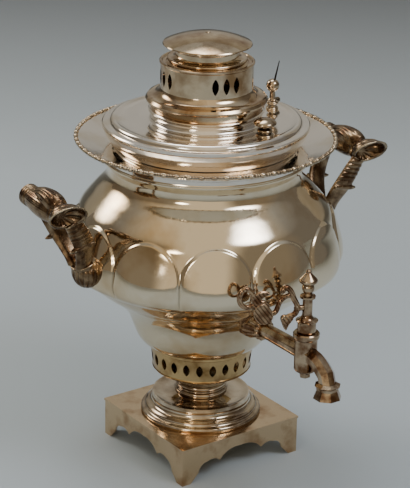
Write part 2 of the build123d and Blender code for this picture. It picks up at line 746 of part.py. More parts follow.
def make_grip_back():
    """The back of the grip: a turned baluster with three rings at its end."""
    neck = grip_neck_radius
    length = back_length
    rings = 0.80 * length
    pitch = (length - rings - 3.0) / 3
    edges = [Line(*section((0, -3), (neck - 1.5, -3)))]
    edges += [ThreePointArc(*section((neck - 1.5, -3), (neck + 2.2, 0), (neck, 3)))]
    edges += [Spline(*section((neck, 3), (neck + 1.8, 0.14 * length), (grip_radius, 0.32 * length),
                              (grip_radius - 0.4, 0.56 * length), (rear_radius, rings)))]
    for ring in range(3):
        start = rings + pitch * ring
        edges += [ThreePointArc(*section(
            (rear_radius, start), (rear_radius + 1.2, start + pitch / 2), (rear_radius, start + pitch)))]
    edges += [ThreePointArc(*section((rear_radius, length - 3.0), (0.72 * rear_radius, length - 0.8), (1.0, length)))]
    edges += [Line(*section((1.0, length), (0, length))), Line(*section((0, length), (0, -3)))]
    return grip_frame(back_rise) * Rot(0, 0, seam_turn) * turned(*edges)


def make_thumb_rest():
    """The swelling along the top of the back that the thumb lies on."""
    r = rest_radius
    length = rest_length
    edges = [
        Line(*section((0, 0), (1.5, 0))),
        Spline(*section((1.5, 0), (0.74 * r, 0.08 * length), (r, 0.26 * length), (0.84 * r, 0.66 * length),
                        (1.5, length))),
        Line(*section((1.5, length), (0, length))),
        Line(*section((0, length), (0, 0))),
    ]
    place = Pos(-0.1 * r, -0.85 * r, -0.13 * back_length)
    return grip_frame(back_rise) * place * Rot(0, 0, 2 * seam_turn) * turned(*edges)


@cache
def make_grip(twist, solid=False):
    """The cast grip, from the mouth of its shell to the rings at its back, or the same with its shell filled."""
    return one(make_grip_back() + make_thumb_rest() + make_grip_shell(twist, solid))


def arm_section(centre, width, depth, climb):
    """An oval section across an arm, which climbs outwards by a slope."""
    plane = Plane(origin=centre, x_dir=(1, 0, -climb), z_dir=(climb, 0, 1))
    return plane * Ellipse(width / 2, depth / 2)


def make_arm(side, twist):
    """One leaf-shaped arm from the root to the underside of the grip. side is -1 for the tap's side.

    The leaf faces the tap, or away from it, and has a rolled edge across it that ends in a thorn.
    """
    spread = front_arm_spread if side < 0 else rear_arm_spread
    foot_out = belly_radius + root_reach + 0.5 * root_half_depth
    top_out = grip_distance - 8.0
    foot = root_height + 0.5 * root_half_height
    rise = grip_height - 0.5 * grip_radius - foot
    sections = []
    for up, out, forward, width, depth in (
            (0.00, 0.00, 0.28, 0.78, 1.15), (0.25, 0.08, 0.52, 0.92, 1.05), (0.50, 0.27, 0.80, 1.00, 1.00),
            (0.78, 0.62, 0.95, 0.90, 1.00), (1.00, 0.95, 1.00, 0.72, 1.10)):
        centre = (foot_out + (top_out - foot_out) * out, root_middle + side * spread * forward, foot + rise * up)
        sections.append(arm_section(centre, arm_width * width, arm_thickness * depth, 0.1 + 0.6 * up))
    arm = loft(sections)
    middle = foot_out + 0.25 * (top_out - foot_out)
    face = root_middle + side * (0.78 * spread + 0.35 * arm_thickness)
    level = foot + 0.48 * rise
    roll = []
    for out, up, radius in ((-0.46 * arm_width, 3.0, 2.2), (0.0, 1.5, 3.2), (0.5 * arm_width, -1.0, 3.0),
                            (thorn_reach, -2.5, 0.8)):
        roll.append(Plane(origin=(middle + out, face, level + up), x_dir=(0, 1, 0), z_dir=(1, 0, 0)) * Circle(radius))
    arm += loft(roll)
    arm -= make_grip(twist, solid=True)
    arm -= make_root()
    return one(arm)


@cache
def make_root():
    """The bud on the belly that both arms grow from."""
    out = belly_radius + root_reach
    bud = scale(Sphere(1), by=(root_half_depth, root_half_width, root_half_height))
    lip = Cylinder(0.86 * root_half_width, 3.2)
    root = Pos(out, root_middle, root_height) * Rot(0, 12, 0) * bud
    root += Pos(out + 0.25 * root_half_depth, root_middle, root_height + 0.62 * root_half_height) * Rot(0, 20, 0) * lip
    return one(root - lobed_belly())


# ---------------------------------------------------------------- lid
def make_lid():
    z = seat_level
    edge = lid_edge_level
    top = lid_top_level
    t = thin_wall
    collar = collar_radius
    hole = tube_radius + seat_gap
    outline = [ThreePointArc(*section(
        (lid_foot_radius, z), (lid_foot_radius + 9.0, z + 11.3), (lid_edge_radius - 1.0, edge - 4.0)))]
    outline += Polyline(*section(
        (lid_edge_radius - 1.0, edge - 4.0), (lid_edge_radius, edge - 2.6), (lid_edge_radius, edge),
        (lid_edge_radius - 1.2, edge + 1.0), (lid_step_radius + 2.6, edge + 1.6))).edges()
    outline += [ThreePointArc(*section(
        (lid_step_radius + 2.6, edge + 1.6), (lid_step_radius + 0.8, top - 0.6), (lid_step_radius - 3.0, top)))]
    outline += [ThreePointArc(*section(
        (lid_step_radius - 3.0, top), (knob_circle + 11.5, top - 1.4), (knob_circle + 8.0, lid_surface)))]
    outline += Polyline(*section(
        (knob_circle + 8.0, lid_surface), (knob_circle - 8.0, lid_surface), (collar + 4.0, top - 2.4))).edges()
    outline += [ThreePointArc(*section(
        (collar + 4.0, top - 2.4), (collar + 1.6, top - 1.4), (collar, top + 1.2)))]
    outline += [ThreePointArc(*section(
        (collar, top + 1.2), (collar + 0.6, top + collar_height - 5.0),
        (collar + collar_lip, top + collar_height - 2.4)))]
    outline += Polyline(*section(
        (collar + collar_lip, top + collar_height - 2.4), (collar + collar_lip, top + collar_height - 1.0),
        (collar + collar_lip - 1.2, collar_level), (hole, collar_level), (hole, collar_level - 8.0),
        (hole + t, collar_level - 8.0), (hole + t, collar_level - t), (collar - t, collar_level - t),
        (collar - t, top - 2.4 - t), (knob_circle - 8.0, lid_surface - t), (knob_circle + 8.0, lid_surface - t),
        (lid_step_radius - 3.0, top - t), (lid_step_radius, edge), (lid_edge_radius - 2.0, edge - t),
        (lid_edge_radius - 2.8, edge - 4.0))).edges()
    outline += [ThreePointArc(*section(
        (lid_edge_radius - 2.8, edge - 4.0), (lid_foot_radius + 7.4, z + 12.0),
        (lid_foot_radius - t, z + wall)))]
    spigot = lid_seat_radius - 9.0 - seat_gap
    outline += Polyline(*section(
        (lid_foot_radius - t, z + wall), (spigot - t, z + wall), (spigot - t, z - 6.0), (spigot, z - 6.0),
        (spigot, z), (lid_foot_radius, z))).edges()
    lid = turned(*outline)
    for turn in (vent_turn - knob_spread, vent_turn + knob_spread):
        lid -= place_on_circle(knob_circle, turn, top) * Cylinder(2.0, 12)
    lid -= place_on_circle(knob_circle, vent_turn, top) * Cylinder(3.0, 12)
    return one(lid)


def make_lid_knob(turn):
    r = knob_radius
    h = knob_height
    outline = [
        Line(*section((0, 0), (6.6, 0))),
        ThreePointArc(*section((6.6, 0), (6.8, 2.2), (4.6, 3.6))),
        ThreePointArc(*section((4.6, 3.6), (6.2, 5.8), (4.4, 8.0))),
        ThreePointArc(*section((4.4, 8.0), (4.4, h - 8.5), (r - 2.4, h - 7.6))),
        ThreePointArc(*section((r - 2.4, h - 7.6), (r, h - 5.4), (r - 1.4, h - 3.4))),
        ThreePointArc(*section((r - 1.4, h - 3.4), (r * 0.55, h - 0.9), (1.0, h))),
        Line(*section((1.0, h), (0, h))),
        Line(*section((0, h), (0, 0))),
    ]
    knob = turned(*outline)
    knob += Pos(0, 0, -6.0) * Cylinder(2.0 - 0.1, 6.5, align=(Align.CENTER, Align.CENTER, Align.MIN))
    return one(place_on_circle(knob_circle, turn, lid_surface) * knob)


def make_knob_nuts():
    nuts = []
    for turn in (vent_turn - knob_spread, vent_turn + knob_spread):
        nut = extrude(RegularPolygon(4.2, 6), -2.6) - Cylinder(2.0 - 0.1, 12)
        nuts.append(one(place_on_circle(knob_circle, turn, lid_surface - thin_wall) * nut))
    return Compound(nuts)


def make_vent_seat():
    """The steam vent's socket, with a small whistle pipe on its outer side."""
    outline = [
        Line(*section((3.1, 0), (6.4, 0))),
        ThreePointArc(*section((6.4, 0), (6.6, 2.0), (4.9, 3.2))),
        Line(*section((4.9, 3.2), (4.6, 5.5))),
        ThreePointArc(*section((4.6, 5.5), (6.6, 7.4), (5.2, 9.4))),
        Line(*section((5.2, 9.4), (3.1, 9.4))),
        Line(*section((3.1, 9.4), (3.1, 0))),
    ]
    seat = turned(*outline)
    whistle = Pos(4.2, 0, 7.4) * Rot(0, 90, 0) * Cylinder(2.2, 8.0, align=(Align.CENTER, Align.CENTER, Align.MIN))
    for place, radius in ((7.0, 3.3), (9.4, 3.3), (11.8, 3.0)):
        whistle += Pos(place, 0, 7.4) * Rot(0, 90, 0) * Cylinder(
            radius, 1.2, align=(Align.CENTER, Align.CENTER, Align.MIN))
    seat += whistle
    seat -= Cylinder(3.1, 60)
    return one(place_on_circle(knob_circle, vent_turn, lid_surface) * Rot(0, 0, 25) * seat)


def make_vent_valve():
    """The loose valve: a stem in the socket with a ball on it."""
    ball = vent_height - vent_ball_radius
    stem_top = ball - vent_ball_radius + 1.0
    outline = Polyline(*section(
        (0, -5.0), (2.8, -5.0), (2.8, 9.6), (4.2, 9.6), (4.4, 11.2), (3.2, 12.4), (3.0, stem_top),
        (0, stem_top))).edges()
    outline += [Line(*section((0, stem_top), (0, -5.0)))]
    valve = turned(*outline)
    valve += Pos(0, 0, ball) * Sphere(vent_ball_radius)
    return one(place_on_circle(knob_circle, vent_turn, lid_surface) * valve)


def make_vent_pin():
    start = lid_surface + vent_height - 1.2
    pin = Cone(1.1, 0.5, vent_pin_length, align=(Align.CENTER, Align.CENTER, Align.MIN))
    pin = place_on_circle(knob_circle, vent_turn, start) * Pos(1.6, -1.1, 0) * Rot(7, 9, 0) * pin
    return one(pin - make_vent_valve())


# ---------------------------------------------------------------- crown and cap
def make_crown():
    z = crown_level
    base = z + crown_foot_height
    top = crown_top_level
    r = crown_radius
    t = thin_wall
    foot = crown_foot_radius
    seat = collar_radius + collar_lip - 2.4
    outline = Polyline(*section(
        (seat - 3.0, z), (seat, z), (seat, base - 8.0), (foot - 1.0, base - 6.4), (foot, base - 5.0),
        (foot, base - 3.6), (foot - 1.9, base - 1.0), (foot - 4.5, base))).edges()
    outline += [ThreePointArc(*section(
        (foot - 4.5, base), (r + 3.6, base + 2.4), (r, base + 8.0)))]
    outline += Polyline(*section(
        (r, base + 8.0), (r, top - 3.4), (r + 1.1, top - 2.4), (r + 1.1, top - 1.0), (r, top - 0.2),
        (r - 1.4, top - 0.6), (r - 2.6, top - 2.0), (cap_foot_radius + 1.5, top - 2.0),
        (cap_foot_radius - 1.5, top), (crown_mouth, top), (crown_mouth, top - 5.0),
        (crown_mouth + t, top - 5.0), (crown_mouth + t, top - t), (cap_foot_radius - 2.4, top - t),
        (cap_foot_radius + 0.6, top - 2.0 - t), (r - t, top - 2.0 - t), (r - t, base + 8.0))).edges()
    outline += [ThreePointArc(*section(
        (r - t, base + 8.0), (r + 2.2, base + 1.2), (foot - 5.2, base - t)))]
    outline += Polyline(*section(
        (foot - 5.2, base - t), (foot - 3.2, base - 2.6), (foot - 2.6, base - 4.8),
        (seat - 3.0, base - 6.4), (seat - 3.0, z))).edges()
    crown = turned(*outline)
    middle = (base + 8.0 + top - 3.4) / 2
    hole = Pos(0, 0, middle) * pointed_hole(crown_hole_width, crown_hole_height, 2 * r)
    hole -= Cylinder(r - 10, 4 * crown_top_level)
    for group in range(crown_groups):
        for place in range(crown_holes_per_group):
            turn = 270 + crown_group_turn + group * 360 / crown_groups
            turn += (place - (crown_holes_per_group - 1) / 2) * crown_hole_pitch
            crown -= Rot(0, 0, turn) * hole
    return one(crown)


def make_cap():
    z = cap_level
    neck = cap_neck_radius
    foot = cap_foot_radius
    lip = cap_lip_radius
    top = z + cap_height
    spigot = crown_mouth - seat_gap
    t = thin_wall
    outline = Polyline(*section(
        (spigot - t, z - cap_spigot), (spigot, z - cap_spigot), (spigot, z), (foot - 1.6, z))).edges()
    outline += [ThreePointArc(*section((foot - 1.6, z), (foot, z + 1.6), (foot - 1.6, z + 3.2)))]
    outline += [ThreePointArc(*section((foot - 1.6, z + 3.2), (neck + 1.6, z + 4.0), (neck, z + 5.6)))]
    outline += [Line(*section((neck, z + 5.6), (neck, z + 12.0)))]
    outline += [ThreePointArc(*section((neck, z + 12.0), (neck + 2.8, z + 13.2), (neck + 1.4, z + 14.8)))]
    outline += [ThreePointArc(*section((neck + 1.4, z + 14.8), (lip - 5.0, z + 15.6), (lip, z + 17.4)))]
    outline += [Line(*section((lip, z + 17.4), (lip - 0.6, z + 18.4)))]
    outline += [ThreePointArc(*section((lip - 0.6, z + 18.4), (lip * 0.52, top - 3.0), (3.0, top)))]
    outline += Polyline(*section(
        (3.0, top), (1.4, top - 1.2), (0, top - 1.2), (0, top - 1.2 - t), (3.0, top - 1.2 - t))).edges()
    outline += [ThreePointArc(*section((3.0, top - 1.2 - t), (lip * 0.5, top - 4.4 - t), (lip - 5.0, z + 18.0)))]
    outline += Polyline(*section(
        (lip - 5.0, z + 18.0), (neck - t, z + 15.4), (neck - t, z + 4.0), (spigot - t, z + 2.0),
        (spigot - t, z - cap_spigot))).edges()
    return one(turned(*outline))


# ---------------------------------------------------------------- all nodes
def make_nodes():
    root = make_root()
    return {
        "plinth": make_plinth(),
        "foot_pedestal": make_foot(),
        "stem_spool": make_spool(),
        "tie_rod": make_tie_rod(),
        "tie_nut": make_tie_nut(),
        "air_gallery": make_gallery(),
        "fire_tube": make_fire_tube(),
        "fire_grate": make_fire_grate(),
        "body_bowl": make_bowl(),
        "body_belly": make_belly(),
        "body_shoulder": make_shoulder(),
        "drip_dish": make_drip_dish(),
        "rim_edge": make_rim_edge(),
        "tap_rosette": make_rosette(),
        "tap_pipe": make_pipe(),
        "cock_body": make_cock_body(),
        "tap_spout": make_spout(),
        "tap_plug": make_plug(),
        "plug_nut": make_plug_nut(),
        "key_post": make_key_post(),
        "key_lever": make_key_lever(),
        "key_finial": make_key_finial(),
        "right_handle_root": root,
        "right_front_arm": make_arm(-1, shell_twist),
        "right_rear_arm": make_arm(1, shell_twist),
        "right_grip": make_grip(shell_twist),
        "left_handle_root": mirrored(root),
        "left_front_arm": mirrored(make_arm(-1, -shell_twist)),
        "left_rear_arm": mirrored(make_arm(1, -shell_twist)),
        "left_grip": mirrored(make_grip(-shell_twist)),
        "lid": make_lid(),
        "front_lid_knob": make_lid_knob(vent_turn - knob_spread),
        "rear_lid_knob": make_lid_knob(vent_turn + knob_spread),
        "lid_knob_nuts": make_knob_nuts(),
        "vent_seat": make_vent_seat(),
        "vent_valve": make_vent_valve(),
        "vent_pin": make_vent_pin(),
        "chimney_crown": make_crown(),
        "chimney_cap": make_cap(),
    }


os.makedirs("parts", exist_ok=True)
for name, shape in make_nodes().items():
    export_step(shape, f"parts/{name}.step")
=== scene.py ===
# %% [markdown]
# # A silver-plated table samovar, dressed over its CAD frame
#
# The solids of the samovar come ready made: turned sheet, castings, tap and lid, all in metres
# with Z up. This lesson gives them the finish of worn silver plate, adds the ornament that is too
# fine for a solid, and lights them in a plain studio.

# %% Load the frame
import math

import bmesh
import bpy
import numpy as np
from mathutils import Matrix, Vector


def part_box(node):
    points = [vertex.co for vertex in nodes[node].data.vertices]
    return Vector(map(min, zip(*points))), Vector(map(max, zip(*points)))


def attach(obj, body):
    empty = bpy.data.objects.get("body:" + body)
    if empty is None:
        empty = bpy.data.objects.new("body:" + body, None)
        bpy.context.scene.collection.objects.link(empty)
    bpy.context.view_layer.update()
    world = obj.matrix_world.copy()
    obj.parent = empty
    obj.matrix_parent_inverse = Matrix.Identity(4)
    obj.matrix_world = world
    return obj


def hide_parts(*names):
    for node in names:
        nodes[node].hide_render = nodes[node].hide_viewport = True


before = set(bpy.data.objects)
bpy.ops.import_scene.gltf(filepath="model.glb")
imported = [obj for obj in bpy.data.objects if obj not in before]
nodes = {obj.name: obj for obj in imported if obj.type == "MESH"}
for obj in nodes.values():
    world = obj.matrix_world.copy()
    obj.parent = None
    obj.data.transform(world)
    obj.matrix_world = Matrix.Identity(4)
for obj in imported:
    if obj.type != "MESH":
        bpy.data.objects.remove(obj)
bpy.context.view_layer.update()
print("nodes in the frame:", len(nodes))

# %% [markdown]
# ## Colours
#
# A colour given in hex is sRGB, and a shader works in linear light. One function turns a hex
# value into linear light, so every colour below can be written the way a paint chart gives it.


# %% Hex to linear colour
def linear(hex_value):
    channels = [int(hex_value[i:i + 2], 16) / 255 for i in (1, 3, 5)]
    curve = [c / 12.92 if c <= 0.04045 else ((c + 0.055) / 1.055) ** 2.4 for c in channels]
    return (*curve, 1.0)


print("mid grey in linear light:", round(linear("#808080")[0], 3))

# %% [markdown]
# ## Material nodes
#
# Every finish here is a small network of nodes. One helper adds a node, sets its values and links
# its inputs, so that a material reads as a list of steps from the pattern to the surface.


# %% Add a node with its settings and links
def add(tree, kind, settings=None, **inputs):
    node = tree.nodes.new(kind)
    for name, value in (settings or {}).items():
        setattr(node, name, value)
    for name, value in inputs.items():
        key = int(name[1:]) if name[0] == "i" and name[1:].isdigit() else name.replace("_", " ")
        if isinstance(value, bpy.types.NodeSocket):
            tree.links.new(value, node.inputs[key])
        else:
            node.inputs[key].default_value = value
    return node


def new_material(name):
    material = bpy.data.materials.new(name)
    material.use_nodes = True
    tree = material.node_tree
    tree.nodes.clear()
    output = tree.nodes.new("ShaderNodeOutputMaterial")
    surface = tree.nodes.new("ShaderNodeBsdfPrincipled")
    tree.links.new(surface.outputs["BSDF"], output.inputs["Surface"])
    return material, tree, surface


# %% [markdown]
# ## Worn metal
#
# Old silver plate is a mirror that has been rubbed for a hundred years. Three things show it: the
# tint drifts between cool silver and warm nickel-yellow over some centimetres, fine rubbing marks
# soften the mirror in patches, and the sheet is never quite true, so that reflections swim. The
# crevices keep a brown film, darkened further by painted shade where ambient occlusion finds
# hollows, and where a surface is finely chased its edges are rubbed bright. One builder makes all
# of that from a few sizes in millimetres, because the metals differ only in colours and in how far
# the wear and the painted shade have gone.


# %% A builder for polished, worn metal
# The crevice colour is a brown film, and where hollows and grooves darken it is also painted shade.
crevice_film_and_shade = "#2A2119"
crevice_mm = 4.0
film_and_shade_spread = 0.55
rubbing_mm = 3.5
rubbing_depth = 0.06


def pattern_scale(size_mm):
    """Noise scale in metres for features of a size in millimetres."""
    return 1000.0 / size_mm


def worn_metal(name, clean, tarnish, patch_mm, tarnish_share, roughness, swim_mm, swim_depth, dirt_and_shade,
               bare=None, edge_wear=0.0, film_and_shade_starts=0.8):
    """Depths and pattern sizes are in millimetres. Dirt with its painted shade, and edge wear, run from 0 to
    1.
    """
    material, tree, surface = new_material(name)
    place = add(tree, "ShaderNodeTexCoord").outputs["Object"]
    patches = add(tree, "ShaderNodeTexNoise", Vector=place, Scale=pattern_scale(patch_mm), Detail=4.0,
                  Roughness=0.55).outputs["Fac"]
    spread = add(tree, "ShaderNodeMapRange", Value=patches, From_Min=0.62 - tarnish_share,
                 From_Max=0.86 - tarnish_share).outputs["Result"]
    tint = add(tree, "ShaderNodeMix", {"data_type": "RGBA"}, i0=spread, i6=linear(clean),
               i7=linear(tarnish)).outputs[2]
    if edge_wear:
        edges = add(tree, "ShaderNodeNewGeometry").outputs["Pointiness"]
        worn = add(tree, "ShaderNodeMapRange", Value=edges, From_Min=0.52, From_Max=0.60,
                   To_Max=edge_wear).outputs["Result"]
        tint = add(tree, "ShaderNodeMix", {"data_type": "RGBA"}, i0=worn, i6=tint,
                   i7=linear(bare)).outputs[2]
        # Painted shade with a brown film: grooves found by low pointiness darken towards the crevice colour.
        grooves = add(tree, "ShaderNodeMapRange", Value=edges, From_Min=0.41, From_Max=0.49, To_Min=dirt_and_shade,
                      To_Max=0.0).outputs["Result"]
        tint = add(tree, "ShaderNodeMix", {"data_type": "RGBA"}, i0=grooves, i6=tint,
                   i7=linear(crevice_film_and_shade)).outputs[2]
    # Painted shade with a brown film: hollows found by ambient occlusion darken towards the crevice colour.
    open_air = add(tree, "ShaderNodeAmbientOcclusion", {"samples": 8, "only_local": True},
                   Distance=crevice_mm / 1000).outputs["AO"]
    shaded_hollows = add(tree, "ShaderNodeMapRange", Value=open_air, From_Min=film_and_shade_starts - film_and_shade_spread,
                  From_Max=film_and_shade_starts, To_Min=dirt_and_shade, To_Max=0.0).outputs["Result"]
    tint = add(tree, "ShaderNodeMix", {"data_type": "RGBA"}, i0=shaded_hollows, i6=tint,
               i7=linear(crevice_film_and_shade)).outputs[2]
    rubbing = add(tree, "ShaderNodeTexNoise", Vector=place, Scale=pattern_scale(rubbing_mm), Detail=6.0,
                  Roughness=0.7).outputs["Fac"]
    dull = add(tree, "ShaderNodeMapRange", Value=rubbing, From_Min=0.35, From_Max=0.75,
               To_Min=roughness * 0.7, To_Max=roughness * 1.5).outputs["Result"]
    swim = add(tree, "ShaderNodeTexNoise", Vector=place, Scale=pattern_scale(swim_mm),
               Detail=2.0).outputs["Fac"]
    uneven = add(tree, "ShaderNodeBump", Height=swim, Strength=1.0,
                 Distance=swim_depth / 1000).outputs["Normal"]
    grain = add(tree, "ShaderNodeBump", Height=rubbing, Normal=uneven, Strength=0.25,
                Distance=rubbing_depth / 1000).outputs["Normal"]
    surface.inputs["Metallic"].default_value = 1.0
    tree.links.new(tint, surface.inputs["Base Color"])
    tree.links.new(dull, surface.inputs["Roughness"])
    tree.links.new(grain, surface.inputs["Normal"])
    print("material", name)
    return material


# %% The samovar's finishes
silver_plate = worn_metal(
    "silver_plate_polished", clean="#F2EADF", tarnish="#DECBAC", patch_mm=60,
    tarnish_share=0.10, roughness=0.085, swim_mm=26, swim_depth=0.22, dirt_and_shade=0.85)
body_plate = worn_metal(
    "silver_plate_yellowed", clean="#EBDCC1", tarnish="#CBB088", patch_mm=75,
    tarnish_share=0.14, roughness=0.085, swim_mm=28, swim_depth=0.24, dirt_and_shade=0.5)
raised_plate = worn_metal(
    "silver_plate_chased", clean="#EBDCC1", tarnish="#CBB088", bare="#F0E2C8", patch_mm=75,
    tarnish_share=0.14, roughness=0.085, swim_mm=28, swim_depth=0.24, dirt_and_shade=0.75, edge_wear=0.6)
# Painted reflection: the crown and cap get a darker, browner plate that stands in for the dark reflections on
# them.
chimney_plate_painted_dark = worn_metal(
    "silver_plate_painted_dark_as_reflection", clean="#DAC5A6", tarnish="#957552", patch_mm=34,
    tarnish_share=0.22, roughness=0.10, swim_mm=22, swim_depth=0.2, dirt_and_shade=0.8)
foot_plate = worn_metal(
    "silver_plate_on_the_foot", clean="#D2C2AA", tarnish="#7F6750", patch_mm=40,
    tarnish_share=0.20, roughness=0.10, swim_mm=20, swim_depth=0.22, dirt_and_shade=0.85)
plinth_plate = worn_metal(
    "silver_plate_wearing_through", clean="#D8BE9A", tarnish="#A27C55", patch_mm=30,
    tarnish_share=0.14, roughness=0.17, swim_mm=18, swim_depth=0.28, dirt_and_shade=0.85)
tap_plate = worn_metal(
    "tap_plate_worn_to_copper", clean="#BBA68B", tarnish="#73543B", patch_mm=12,
    tarnish_share=0.24, roughness=0.13, swim_mm=7, swim_depth=0.12, dirt_and_shade=1.0)
chased_tap_plate = worn_metal(
    "chased_tap_plate", clean="#B79B7C", tarnish="#6E4D36", bare="#E6D0AE", patch_mm=10,
    tarnish_share=0.26, roughness=0.17, swim_mm=6, swim_depth=0.10, dirt_and_shade=1.0, edge_wear=0.8)
browned_casting = worn_metal(
    "browned_brass_casting", clean="#9C8569", tarnish="#57402D", bare="#E4D3B4", patch_mm=12,
    tarnish_share=0.26, roughness=0.22, swim_mm=5, swim_depth=0.16, dirt_and_shade=1.0, edge_wear=0.8)
gallery_brass = worn_metal(
    "gilded_brass", clean="#CCAE7C", tarnish="#8E6C42", patch_mm=22,
    tarnish_share=0.2, roughness=0.14, swim_mm=10, swim_depth=0.10, dirt_and_shade=0.85)
border_plate = worn_metal(
    "silver_plate_border", clean="#C9B79C", tarnish="#775C41", patch_mm=40,
    tarnish_share=0.14, roughness=0.10, swim_mm=6, swim_depth=0.05, dirt_and_shade=1.0, film_and_shade_starts=0.98)
soot_iron = worn_metal(
    "sooty_iron", clean="#4A4540", tarnish="#2B2724", patch_mm=9,
    tarnish_share=0.25, roughness=0.55, swim_mm=4, swim_depth=0.3, dirt_and_shade=0.8)
tinned_inside = worn_metal(
    "tinned_inside", clean="#A8A49C", tarnish="#77736A", patch_mm=30,
    tarnish_share=0.2, roughness=0.34, swim_mm=14, swim_depth=0.2, dirt_and_shade=0.5)


# %% [markdown]
# ## Which finish goes where
#
# The turned and raised sheet is silver plate, yellower on the body, where the hand polishes less,
# and darker on the foot. The crown stands over the fire, and its darker, browner plate is a painted
# dark reflection. The plinth and the tap are touched and wiped the most, so there the
# copper-coloured metal shows. The handles are castings that have gone brown. The knobs and the vent
# have the finish of the beaded edge, whose hollows keep more film and more painted shade.


# %% Give the finishes to the solids
finish_of = {}
for node in "drip_dish rim_edge lid".split():
    finish_of[node] = silver_plate
for node in "front_lid_knob rear_lid_knob vent_seat vent_valve".split():
    finish_of[node] = border_plate
for node in "foot_pedestal stem_spool".split():
    finish_of[node] = foot_plate
for node in "body_bowl body_belly body_shoulder".split():
    finish_of[node] = body_plate
for node in "chimney_crown chimney_cap".split():
    finish_of[node] = chimney_plate_painted_dark
for node in ("tap_rosette tap_pipe cock_body tap_spout tap_plug plug_nut key_post key_lever "
             "key_finial").split():
    finish_of[node] = tap_plate
for side in ("right", "left"):
    for part in ("handle_root", "front_arm", "rear_arm", "grip"):
        finish_of[f"{side}_{part}"] = browned_casting
finish_of["plinth"] = plinth_plate
finish_of["air_gallery"] = gallery_brass
for node in ("tie_rod", "tie_nut", "fire_grate", "vent_pin"):
    finish_of[node] = soot_iron
for node in ("fire_tube", "lid_knob_nuts"):
    finish_of[node] = tinned_inside

for name, solid in nodes.items():
    solid.data.materials.clear()
    solid.data.materials.append(finish_of[name])
print("finished solids:", len(nodes))

# %% [markdown]
# ## The bead-and-reel edge
#
# The rim of the drip dish is finished with a wire in the oldest of borders: one long bead, then
# two thin discs, over and over. It was rolled or cast as a strip and soldered on. One unit is a
# turned shape on a short wire, so it is made once as a lathe profile along the wire and then laid
# round the rim. It takes the place of the plain wire of the solid.

# %% Size of the border
edge_low, edge_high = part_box("rim_edge")
wire_radius = (edge_high.z - edge_low.z) / 2
rim_radius = edge_high.x - wire_radius
rim_height = (edge_high.z + edge_low.z) / 2
border_units = 68
bead_share = 0.27
gap_share = 0.07
reel_share = 0.125
neck = wire_radius * 0.20
reel_radius = wire_radius * 0.84
unit_length = 2 * math.pi * rim_radius / border_units
print("one bead and its reels take", round(unit_length * 1000, 1), "mm")


# %% A shape turned along a wire
def border_profile():
    """Distance along the wire and radius, for one bead, two reels and the wire between them."""
    bead_half = unit_length * bead_share
    gap = unit_length * gap_share
    reel = unit_length * reel_share
    points = []
    for step in range(9):
        angle = math.pi * step / 8
        points.append((-bead_half * math.cos(angle), neck + (wire_radius - neck) * math.sin(angle)))
    at = bead_half + gap
    for _ in range(2):
        points += [(at, neck), (at + reel * 0.1, reel_radius),
                   (at + reel * 0.9, reel_radius), (at + reel, neck)]
        at += reel + gap
    return points


def smooth_mesh(name, net):
    """A finished mesh from a net of faces, shaded smoothly."""
    mesh = bpy.data.meshes.new(name)
    net.to_mesh(mesh)
    net.free()
    mesh.polygons.foreach_set("use_smooth", [True] * len(mesh.polygons))
    print(name, "has", len(mesh.polygons), "faces")
    return mesh


def wire_border(name, around=12):
    border = bmesh.new()
    rings = []
    for unit in range(border_units):
        for along, radius in border_profile():
            angle = (unit * unit_length + along) / rim_radius
            ring = []
            for step in range(around):
                turn = 2 * math.pi * step / around
                reach = rim_radius + radius * math.cos(turn)
                ring.append(border.verts.new((reach * math.cos(angle), reach * math.sin(angle),
                                              rim_height + radius * math.sin(turn))))
            rings.append(ring)
    for here, following in zip(rings, rings[1:] + rings[:1]):
        for step in range(around):
            later = (step + 1) % around
            border.faces.new((here[step], following[step], following[later], here[later]))
    bmesh.ops.recalc_face_normals(border, faces=border.faces)
    return smooth_mesh(name, border)


# %% Lay the border round the rim
def place_piece(name, mesh, material, body):
    mesh.materials.append(material)
    piece = bpy.data.objects.new(name, mesh)
    bpy.context.scene.collection.objects.link(piece)
    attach(piece, body)
    return piece


bead_border = place_piece("bead_and_reel_edge", wire_border("bead_and_reel_edge"), border_plate,
                          "base")
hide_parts("rim_edge")

# %% [markdown]
# ## The lobed body
#
# Belly and shoulder were raised from one sheet, and the twelve lobes were chased out of it. Each
# lobe ends above in a round arch with a crisp edge, and between the arches the shoulder runs down
# smoothly. A solid made of joined lobes shows the lobes but not the crisp edge. So the sheet is
# drawn again as a fine net of rings: the plain profile gives the radius of each ring, and one
# function adds how far the lobe stands out at that place.

# %% Profiles of the sheet, radius and height in millimetres
lobes = 12
plain_profile = [(134.0, 213.5), (142.2, 220.5), (145.6, 230.0), (146.2, 238.0), (144.8, 250.0),
                 (141.4, 264.0), (138.8, 275.0), (136.4, 283.0), (131.5, 291.5), (119.5, 305.5),
                 (106.5, 319.5), (103.5, 329.5), (105.2, 336.0), (108.9, 340.9)]
ring_profile = [(111.1, 341.4), (111.1, 343.4), (109.6, 344.2), (109.6, 345.4), (106.5, 345.4)]
lobe_crest = [(134.0, 213.5), (146.6, 222.0), (151.0, 229.0), (152.2, 236.0), (151.6, 243.0),
              (149.5, 252.0), (144.2, 269.5), (142.0, 277.5), (138.5, 283.5), (133.5, 291.5)]
arch_radius = 36.6
arch_centre = 250.4
arch_step = 2.2
arch_edge = 2.2
edge_overlap = 0.2
step_starts = 218.0
step_full = 232.0
sheet = 1.8


